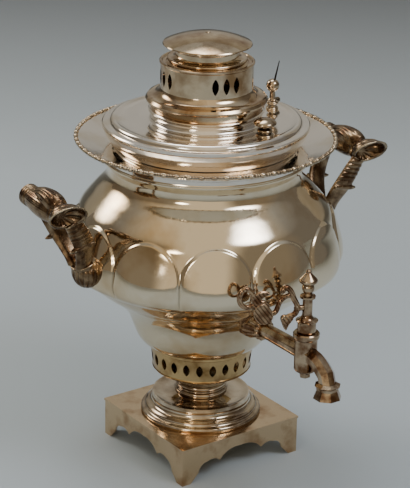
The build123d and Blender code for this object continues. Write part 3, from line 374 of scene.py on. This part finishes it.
def through(points, steps):
    """A smooth curve through points, with some steps between each two of them."""
    curve = []
    ends = [points[0], *points, points[-1]]
    for before, start, end, after in zip(ends, ends[1:], ends[2:], ends[3:]):
        for step in range(steps):
            t = step / steps
            curve.append(tuple(
                0.5 * (2 * b + (c - a) * t + (2 * a - 5 * b + 4 * c - d) * t ** 2
                       + (3 * b - a - 3 * c + d) * t ** 3)
                for a, b, c, d in zip(before, start, end, after)))
    return curve + [points[-1]]


def crisp(points, softness=0.15):
    """The same corners, each with two points close together, so that smooth shading keeps them."""
    corners = []
    for before, here, after in zip(points, points[1:], points[2:]):
        for other in (before, after):
            share = softness / math.dist(here, other)
            corners.append(tuple(h + (o - h) * share for h, o in zip(here, other)))
    return corners + [points[-1]]


crest_curve = through(lobe_crest, 8)
crest_heights = [height for radius, height in crest_curve]
crest_radii = [radius for radius, height in crest_curve]
fullest_plain = max(radius for radius, height in plain_profile)
print("lobes stand out", round(max(crest_radii) - fullest_plain, 1), "mm at their fullest")


# %% How far a lobe stands out
def fade(value, start, end):
    """0 before start, 1 after end, smooth between."""
    share = np.clip((value - start) / (end - start), 0.0, 1.0)
    return share * share * (3 - 2 * share)


def lobe_relief(turn, radius, height):
    """Millimetres by which the lobes stand out from the plain sheet, round one ring of it."""
    pitch = 2 * math.pi / lobes
    aside = np.abs((turn + pitch / 2) % pitch - pitch / 2) / (pitch / 2) * arch_radius
    above = max(height - arch_centre, 0.0)
    from_middle = np.hypot(aside, above) / arch_radius
    crest = np.interp(height, crest_heights, crest_radii)
    rise = max(crest - radius, 0.0)
    inside = fade((1 - from_middle) * arch_radius, -edge_overlap, arch_edge)
    step = arch_step * float(fade(height, step_starts, step_full))
    dome = max(rise - step, 0.0) * np.clip(1 - from_middle ** 2, 0.0, 1.0)
    return inside * (step + dome)


# %% Weave the sheet
def lobed_sheet(name, columns=576, inner_columns=96):
    body = bmesh.new()
    outer = []
    turns = 2 * math.pi * np.arange(columns) / columns
    for radius, height in through(plain_profile, 9) + crisp(plain_profile[-1:] + ring_profile):
        reach = radius + lobe_relief(turns, radius, height)
        outer.append([body.verts.new((r * math.sin(t) / 1000, -r * math.cos(t) / 1000, height / 1000))
                      for r, t in zip(reach, turns)])
    every = columns // inner_columns
    inner = []
    for radius, height in through(plain_profile, 3):
        reach = radius - sheet
        inner.append([body.verts.new((reach * math.sin(t) / 1000, -reach * math.cos(t) / 1000, height / 1000))
                      for t in turns[::every]])
    for skin, flip in ((outer, False), (inner, True)):
        count = len(skin[0])
        for low, high in zip(skin, skin[1:]):
            for step in range(count):
                later = (step + 1) % count
                face = (low[step], low[later], high[later], high[step])
                body.faces.new(face[::-1] if flip else face)
    for outside, inside, flip in ((outer[0], inner[0], True), (outer[-1], inner[-1], False)):
        for step in range(inner_columns):
            later = (step + 1) % inner_columns
            strip = [outside[(step * every + part) % columns] for part in range(every + 1)]
            face = strip + [inside[later], inside[step]]
            body.faces.new(face[::-1] if flip else face)
    return smooth_mesh(name, body)


# %% The sheet takes the place of belly and shoulder
lobed_body = place_piece("lobed_body", lobed_sheet("lobed_body"), raised_plate, "base")
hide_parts("body_belly", "body_shoulder")

# %% [markdown]
# ## The knobs of the lid
#
# Each knob is a broad flat mushroom on a narrow waist and a stepped foot, turned from one rod. A
# lathe profile swept about the knob's axis is the shortest way to such a shape.

# %% Turn a knob from its profile
knob_profile = [(0.1, -0.4), (9.0, -0.4), (9.1, 1.4), (7.0, 2.2), (7.4, 3.4), (8.2, 4.8), (7.2, 6.4),
                (4.8, 7.6), (4.4, 9.0), (5.6, 10.2), (9.6, 10.6), (11.8, 12.0), (12.0, 13.4), (10.8, 14.9),
                (7.6, 16.8), (3.8, 18.1), (0.1, 18.5)]
knob_height = knob_profile[-1][1]


def turned_knob(name, node, around=72):
    low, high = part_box(node)
    middle_x = (low.x + high.x) / 2
    middle_y = (low.y + high.y) / 2
    seat = high.z - knob_height / 1000
    turns = [2 * math.pi * step / around for step in range(around)]
    knob = bmesh.new()
    rings = []
    for radius, height in through(knob_profile, 4):
        rings.append([knob.verts.new((middle_x + radius / 1000 * math.cos(turn),
                                      middle_y + radius / 1000 * math.sin(turn),
                                      seat + height / 1000)) for turn in turns])
    for lower, upper in zip(rings, rings[1:]):
        for step in range(around):
            later = (step + 1) % around
            knob.faces.new((lower[step], lower[later], upper[later], upper[step]))
    knob.faces.new(rings[0][::-1])
    knob.faces.new(rings[-1])
    return smooth_mesh(name, knob)


for place in ("front", "rear"):
    name = f"{place}_turned_knob"
    knob = place_piece(name, turned_knob(name, f"{place}_lid_knob"), border_plate, "lid")
    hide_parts(f"{place}_lid_knob")

# %% [markdown]
# ## Carving a casting
#
# The handles, their roots and the rosette of the tap are castings whose surface is chased with
# ribs, flutes and veins. Modelling each rib by hand would take long and would drift off the solid
# below. So the skin of the solid is copied, covered with an even net of small faces by a voxel
# remesh, and each point of that net is pushed along its normal by a relief, which is a small
# function of where the point lies. The relief is written as a maker would describe it, in
# millimetres: so many ribs, so far apart, so high.


# %% A finer skin with a relief on it
def carved(name, node, skin_mm, relief):
    """The skin of a solid in faces of a size in millimetres, raised by what relief returns."""
    source = nodes[node].data.copy()
    rough = bpy.data.objects.new(name + "_rough", source)
    bpy.context.scene.collection.objects.link(rough)
    net = rough.modifiers.new("even_net", "REMESH")
    net.mode = "VOXEL"
    net.voxel_size = skin_mm / 1000
    bpy.context.view_layer.update()
    evaluated = rough.evaluated_get(bpy.context.evaluated_depsgraph_get())
    mesh = bpy.data.meshes.new_from_object(evaluated)
    bpy.data.objects.remove(rough)
    mesh.name = name
    count = len(mesh.vertices)
    points = np.empty(count * 3)
    normals = np.empty(count * 3)
    mesh.vertices.foreach_get("co", points)
    mesh.vertices.foreach_get("normal", normals)
    points = points.reshape(-1, 3)
    normals = normals.reshape(-1, 3)
    height = relief(points * 1000, normals) / 1000
    mesh.vertices.foreach_set("co", (points + normals * height[:, None]).ravel())
    mesh.polygons.foreach_set("use_smooth", [True] * len(mesh.polygons))
    mesh.materials.clear()
    mesh.update()
    print(name, "has", len(mesh.polygons), "faces, relief", round(float(height.min()) * 1000, 2), "to",
          round(float(height.max()) * 1000, 2), "mm")
    return mesh


rib_mean = 0.64
rib_sharpness = 0.7
groove_sharpness = 0.6


def ribs(value, pitch, height, sharpness=rib_sharpness):
    """Round ribs with narrow grooves between them, one to each pitch, about a mean level of 0."""
    wave = np.abs(np.sin(math.pi * value / pitch))
    return height * (wave ** sharpness - rib_mean)


# %% [markdown]
# ## The grips
#
# Each grip is a baluster held at its back, with a leaf curled over the top of it for the thumb,
# and a shell in front that opens forwards and down over the arm. The back is engraved with fine
# lines along it. The shell has broad ribs outside, parallel to its mouth, and flutes inside that
# spread from the neck, as a scallop has.

# %% Where the neck of a grip lies, and the size of its chasing
neck_out = 196.0
neck_forward = -19.0
neck_height = 319.0
back_climb = math.radians(4.6)
shell_twist = math.radians(14.0)
mouth_lean = math.radians(42.0)
mouth_place = 18.2
casting_skin = 0.7
engraved_lines = 30
engraved_depth = 0.28
leaf_vein_pitch = 4.6
leaf_vein_height = 0.9
shell_rib_pitch = 5.4
shell_rib_height = 1.1
shell_flutes = 13
flute_depth = 1.2
lip_height = 0.9
lip_width = 1.8
grip_low, grip_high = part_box("right_grip")
print("grip is", round((grip_high.y - grip_low.y) * 1000), "mm long")


def grip_relief(side):
    """The relief of one grip. Side is 1 on the right and -1 on the left."""
    def relief(points, normals):
        x = points[:, 0] - side * neck_out
        y = points[:, 1] - neck_forward
        z = points[:, 2] - neck_height
        along_back = y * math.cos(back_climb) + z * math.sin(back_climb)
        lift = -y * math.sin(back_climb) + z * math.cos(back_climb)
        turn = np.arctan2(x, lift)
        engraved = ribs(turn, 2 * math.pi / engraved_lines, engraved_depth, groove_sharpness)
        engraved *= fade(along_back, 4, 9) * (1 - fade(along_back, 42, 47))
        top_leaf = fade(lift, 10.5, 13.0)
        veins = ribs(x * (1 + along_back / 40), leaf_vein_pitch, leaf_vein_height)
        back = engraved * (1 - top_leaf) + veins * top_leaf * fade(along_back, 0, 6)
        across = x * math.cos(shell_twist) - z * math.sin(shell_twist)
        above = x * math.sin(shell_twist) + z * math.cos(shell_twist)
        from_mouth = (y + mouth_place) * math.cos(mouth_lean) + above * math.sin(mouth_lean)
        around_shell = np.arctan2(across, above)
        outward = normals[:, 0] * across + normals[:, 2] * above
        outside = fade(outward, -2.0, 2.0)
        lip = lip_height * np.exp(-(from_mouth / lip_width) ** 2)
        shell_outside = ribs(from_mouth - 2.0, shell_rib_pitch, shell_rib_height)
        shell_outside = shell_outside * fade(from_mouth, 2.0, 4.0) + lip
        shell_inside = ribs(around_shell, 2 * math.pi / shell_flutes, flute_depth)
        shell_inside = shell_inside * fade(from_mouth, 0.5, 3.0)
        shell = outside * shell_outside + (1 - outside) * shell_inside
        in_front = fade(-y, 2.0, 6.0)
        return back * (1 - fade(-y, -3.0, 2.0)) + shell * in_front
    return relief


# %% Carve both grips
def place_casting(name, node, relief):
    """A carved casting of the handles, in its place on the base."""
    return place_piece(name, carved(name, node, casting_skin, relief), browned_casting, "base")


for side, sign in (("right", 1), ("left", -1)):
    grip = place_casting(f"{side}_chased_grip", f"{side}_grip", grip_relief(sign))
    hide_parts(f"{side}_grip")

# %% [markdown]
# ## The arms and their roots
#
# The arm on the tap's side is a leaf whose upper face is ribbed across, between the shell and the
# rolled bar. Below the bar it stays as the solid has it, and so does the rear arm. Both grow from
# a bud that is gadrooned from its rim down to its tip.

# %% Ribs and gadroons
bar_level = 287.0
shell_level = 312.0
arm_rib_pitch = 5.2
arm_rib_height = 1.2
root_out = 154.0
root_forward = -6.5
root_level = 243.0
gadroons = 16
gadroon_height = 1.3


def front_arm_relief(side):
    def relief(points, normals):
        forward = fade(-normals[:, 1], 0.15, 0.6)
        above_bar = fade(points[:, 2], bar_level + 1, bar_level + 4)
        below_shell = 1 - fade(points[:, 2], shell_level, shell_level + 4)
        slant = points[:, 2] + 0.25 * side * points[:, 0]
        return ribs(slant, arm_rib_pitch, arm_rib_height) * forward * (above_bar * below_shell)
    return relief


def root_relief(side):
    def relief(points, normals):
        x = points[:, 0] * side - root_out
        y = points[:, 1] - root_forward
        turn = np.arctan2(y, x)
        below_rim = 1 - fade(points[:, 2], root_level + 5, root_level + 8)
        gadrooned = ribs(turn, 2 * math.pi / gadroons, gadroon_height, groove_sharpness)
        return gadrooned * below_rim * fade(np.hypot(x, y), 1.5, 6.0)
    return relief


for side, sign in (("right", 1), ("left", -1)):
    arm = place_casting(f"{side}_ribbed_arm", f"{side}_front_arm", front_arm_relief(sign))
    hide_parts(f"{side}_front_arm")
    root = place_casting(f"{side}_gadrooned_root", f"{side}_handle_root", root_relief(sign))
    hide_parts(f"{side}_handle_root")

# %% [markdown]
# ## The rosette
#
# The pipe of the tap leaves the bowl through a cup of leaves. The leaves are ribs that spread from
# the pipe, with a deep groove between each two.

# %% Leaves round the pipe
pipe_level = 180.0
rosette_leaves = 12
leaf_height = 1.5
rosette_skin = 0.6


def rosette_relief(points, normals):
    turn = np.arctan2(points[:, 0], points[:, 2] - pipe_level)
    from_pipe = np.hypot(points[:, 0], points[:, 2] - pipe_level)
    leaves = ribs(turn, 2 * math.pi / rosette_leaves, leaf_height, groove_sharpness)
    return leaves * fade(from_pipe, 8.0, 11.0)


rosette = place_piece("leaf_rosette", carved("leaf_rosette", "tap_rosette", rosette_skin, rosette_relief),
                      chased_tap_plate, "base")
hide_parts("tap_rosette")

# %% [markdown]
# ## The lever
#
# The lever of the tap is an openwork casting of scrolls and leaves. Its pierced outline is in the
# solid, and what makes it look cast is the chasing: short slanting veins across its two flat sides,
# from the key's post outwards.

# %% Chase the lever
lever_turn = math.radians(160.0)
lever_axis = Vector((0.0, -183.5))
lever_skin = 0.5
vein_pitch = 3.4
vein_height = 1.0
ground_depth = 0.25


def lever_relief(points, normals):
    sideways = -normals[:, 0] * math.sin(lever_turn) + normals[:, 1] * math.cos(lever_turn)
    x = points[:, 0] - lever_axis.x
    y = points[:, 1] - lever_axis.y
    out = x * math.cos(lever_turn) + y * math.sin(lever_turn)
    flat = fade(np.abs(sideways), 0.80, 0.97)
    veins = ribs(0.8 * out - 0.6 * points[:, 2], vein_pitch, vein_height)
    return veins * flat * fade(out, 7.0, 10.0) - ground_depth * flat


lever = place_piece("chased_lever", carved("chased_lever", "key_lever", lever_skin, lever_relief),
                    chased_tap_plate, "key")
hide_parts("key_lever")

# %% [markdown]
# ## Studio
#
# A polished samovar shows the room more than itself, so the room is made with care. One sheet of
# grey paper is floor and wall: its colour is pale near the samovar, darkens behind it as painted
# shade, and is brightened again on the wall as painted light, which the lid and the rim reflect.
# The wall stands nearly five metres away, so that a camera walking round the samovar stays in
# front of it.

# %% Floor and wall
floor_half = 6.0
wall_distance = 4.8
wall_height = 5.0
bend = 0.9
bend_steps = 12
mottle_mm = 300
darkening = (0.9, 2.1)
brightening = (0.5, 1.0)


def graded_paper_paint(name, colour, far_painted_shade, painted_wall_light_colour, roughness):
    """Paper with painted shade that darkens it with distance behind the samovar, and painted light that
    brightens it with height on the wall.
    """
    material, tree, surface = new_material(name)
    place = add(tree, "ShaderNodeTexCoord").outputs["Object"]
    mottle = add(tree, "ShaderNodeTexNoise", Vector=place, Scale=pattern_scale(mottle_mm),
                 Detail=3.0).outputs["Fac"]
    tint = add(tree, "ShaderNodeMapRange", Value=mottle, To_Min=0.97, To_Max=1.0).outputs["Result"]
    apart = add(tree, "ShaderNodeSeparateXYZ", Vector=place)
    # Painted shade: the paper darkens with distance behind the samovar.
    away = add(tree, "ShaderNodeMapRange", Value=apart.outputs["Y"], From_Min=darkening[0],
               From_Max=darkening[1]).outputs["Result"]
    graded = add(tree, "ShaderNodeMix", {"data_type": "RGBA"}, i0=away, i6=linear(colour),
                 i7=linear(far_painted_shade)).outputs[2]
    # Painted light: the paper brightens with height on the wall.
    lit_again = add(tree, "ShaderNodeMapRange", Value=apart.outputs["Z"], From_Min=brightening[0],
                    From_Max=brightening[1]).outputs["Result"]
    graded = add(tree, "ShaderNodeMix", {"data_type": "RGBA"}, i0=lit_again, i6=graded,
                 i7=linear(painted_wall_light_colour)).outputs[2]
    shade = add(tree, "ShaderNodeMix", {"data_type": "RGBA", "blend_type": "MULTIPLY"}, i0=1.0,
                i6=graded, i7=tint).outputs[2]
    tree.links.new(shade, surface.inputs["Base Color"])
    surface.inputs["Roughness"].default_value = roughness
    print("material", name)
    return material


def sweep_backdrop(name, material):
    """A floor that curves up into a wall, seen from the camera's side."""
    bend_start = wall_distance - bend
    profile = [(-floor_half, 0.0), (bend_start, 0.0)]
    for step in range(1, bend_steps + 1):
        angle = math.radians(90 * step / bend_steps)
        profile.append((bend_start + bend * math.sin(angle), bend - bend * math.cos(angle)))
    profile.append((wall_distance, wall_height))
    mesh = bpy.data.meshes.new(name)
    vertices = [(x, y, z) for y, z in profile for x in (-floor_half, floor_half)]
    faces = [(2 * i, 2 * i + 1, 2 * i + 3, 2 * i + 2) for i in range(len(profile) - 1)]
    mesh.from_pydata(vertices, [], faces)
    mesh.polygons.foreach_set("use_smooth", [True] * len(faces))
    backdrop = bpy.data.objects.new(name, mesh)
    bpy.context.scene.collection.objects.link(backdrop)
    mesh.materials.append(material)
    return backdrop


grey_paper = graded_paper_paint("grey_paper", "#ACB7BE", "#72787D", "#D0D3D5", 0.9)
backdrop = sweep_backdrop("studio_sweep", grey_paper)

# %% [markdown]
# ## Camera
#
# The camera stands a metre up and a little over two metres away, to the left of the tap. It looks
# down by 21 degrees with a long lens, so that the foot and the rim keep their proportions. The
# frame is upright, and a small shift of the lens and a degree of roll finish the view.

# %% Lens, height and distance
image_width, image_height = 410, 488
focal_px = 1972.0
centre_px = (203.71, 243.85)
elevation = math.radians(21.30)
azimuth = math.radians(-35.59)
roll = math.radians(1.13)
distance = 2.1414
target = Vector((0.0, 0.0, 0.2399))

back = Vector((math.sin(azimuth) * math.cos(elevation),
               -math.cos(azimuth) * math.cos(elevation),
               math.sin(elevation)))
level_right = Vector((math.cos(azimuth), math.sin(azimuth), 0.0))
level_up = back.cross(level_right)
right = level_right * math.cos(roll) + level_up * math.sin(roll)
up = level_up * math.cos(roll) - level_right * math.sin(roll)
camera_data = bpy.data.cameras.new("camera")
camera_data.sensor_fit = "VERTICAL"
camera_data.sensor_height = 36.0
camera_data.lens = focal_px * camera_data.sensor_height / image_height
camera_data.shift_x = (image_width / 2 - centre_px[0]) / image_height
camera_data.shift_y = (centre_px[1] - image_height / 2) / image_height
camera = bpy.data.objects.new("camera", camera_data)
turn = Matrix((right, up, back)).transposed().to_4x4()
camera.matrix_world = Matrix.Translation(target + back * distance) @ turn
bpy.context.scene.collection.objects.link(camera)
bpy.context.scene.camera = camera
backdrop.rotation_euler = (0.0, 0.0, azimuth)
print("lens", round(camera_data.lens, 1), "mm")


# %% [markdown]
# ## Lights
#
# Hard lights would burn small white spots into the metal. Each light here is a sheet of fabric
# that glows most in its middle, so its reflection is a band with soft edges. A cool one on the
# right models the belly, a warmer one on the left lights the other flank from behind, one hangs
# above, a small one stands in front, and one lights the wall only.


# %% Soft lights
def soft_light(name, place, aim, size, power, colour):
    """A fabric-covered light whose glow falls off towards its edges."""
    data = bpy.data.lights.new(name, "AREA")
    data.shape = "RECTANGLE"
    data.size, data.size_y = size
    data.energy = power
    data.color = linear(colour)[:3]
    data.use_nodes = True
    glow = data.node_tree
    glow.nodes.clear()
    spot = add(glow, "ShaderNodeNewGeometry").outputs["Parametric"]
    from_middle = add(glow, "ShaderNodeVectorMath", {"operation": "DISTANCE"}, i0=spot,
                      i1=(0.5, 0.5, 0.0)).outputs["Value"]
    strength = add(glow, "ShaderNodeMapRange", {"interpolation_type": "SMOOTHSTEP"}, Value=from_middle,
                   From_Min=0.05, From_Max=0.5, To_Min=1.5, To_Max=0.0).outputs["Result"]
    emission = add(glow, "ShaderNodeEmission", Strength=strength)
    add(glow, "ShaderNodeOutputLight", Surface=emission.outputs["Emission"])
    light = bpy.data.objects.new(name, data)
    light.location = place
    light.rotation_euler = (Vector(aim) - Vector(place)).to_track_quat("-Z", "Y").to_euler()
    bpy.context.scene.collection.objects.link(light)


def seen_from_camera(sideways, toward, height):
    """A place in the studio: metres to the camera's right, metres towards it, and height."""
    flat_back = Vector((back.x, back.y, 0.0)).normalized()
    return level_right * sideways + flat_back * toward + Vector((0.0, 0.0, height))


middle = (0.0, 0.0, 0.25)
on_the_wall = seen_from_camera(0.0, -wall_distance, 1.9)
soft_light("key_light", seen_from_camera(1.3, 0.95, 2.0), middle, (1.7, 1.3), 52, "#EFF3FF")
soft_light("left_light", seen_from_camera(-1.8, -1.0, 1.6), middle, (1.3, 1.5), 44, "#FFF8EE")
soft_light("top_light", seen_from_camera(-0.3, -0.8, 2.8), middle, (2.2, 1.6), 50, "#FFFFFF")
soft_light("wall_light", seen_from_camera(0.0, -2.7, 3.0), on_the_wall, (3.6, 0.8), 44, "#FFFFFF")
soft_light("front_light", seen_from_camera(-0.95, 2.0, 1.0), middle, (0.7, 0.6), 14, "#FFFAF0")
print("lights:", len(bpy.data.lights))

# %% [markdown]
# ## The rest of the room
#
# What no sheet or light fills is the air of the room. It is grey behind the samovar and a warm
# cream in front. At both sides it is darker, though not high up, so that the round metal gets dark
# flanks. Straight overhead it is pale.

# %% Colours of the room by direction
world = bpy.data.worlds.new("studio_air")
bpy.context.scene.world = world
world.use_nodes = True
air = world.node_tree
air.nodes.clear()
direction = add(air, "ShaderNodeTexCoord").outputs["Generated"]
height = add(air, "ShaderNodeSeparateXYZ", Vector=direction).outputs["Z"]
front_of_room = (back.x, back.y, 0.0)
frontness = add(air, "ShaderNodeVectorMath", {"operation": "DOT_PRODUCT"}, i0=direction,
                i1=front_of_room).outputs["Value"]
warm_share = add(air, "ShaderNodeMapRange", Value=frontness, From_Min=-0.1,
                 From_Max=0.25).outputs["Result"]
room = add(air, "ShaderNodeMix", {"data_type": "RGBA"}, i0=warm_share, i6=linear("#A6A8A9"),
           i7=linear("#DED0B8")).outputs[2]
sideness = add(air, "ShaderNodeVectorMath", {"operation": "DOT_PRODUCT"}, i0=direction,
               i1=tuple(level_right)).outputs["Value"]
sideness = add(air, "ShaderNodeMath", {"operation": "ABSOLUTE"}, i0=sideness).outputs["Value"]
beside = add(air, "ShaderNodeMapRange", {"interpolation_type": "SMOOTHSTEP"}, Value=sideness,
             From_Min=0.30, From_Max=0.62, To_Max=0.8).outputs["Result"]
low = add(air, "ShaderNodeMapRange", Value=height, From_Min=0.5, From_Max=0.8, To_Min=1.0,
          To_Max=0.0).outputs["Result"]
beside = add(air, "ShaderNodeMath", {"operation": "MULTIPLY"}, i0=beside, i1=low).outputs["Value"]
room = add(air, "ShaderNodeMix", {"data_type": "RGBA"}, i0=beside, i6=room,
           i7=linear("#5C5449")).outputs[2]
overhead = add(air, "ShaderNodeMapRange", Value=height, From_Min=0.93, From_Max=1.0).outputs["Result"]
room = add(air, "ShaderNodeMix", {"data_type": "RGBA"}, i0=overhead, i6=room,
           i7=linear("#D8D8D6")).outputs[2]
sky = add(air, "ShaderNodeBackground", Color=room, Strength=1.0)
add(air, "ShaderNodeOutputWorld", Surface=sky.outputs["Background"])
print("the room has", len(air.nodes), "nodes")
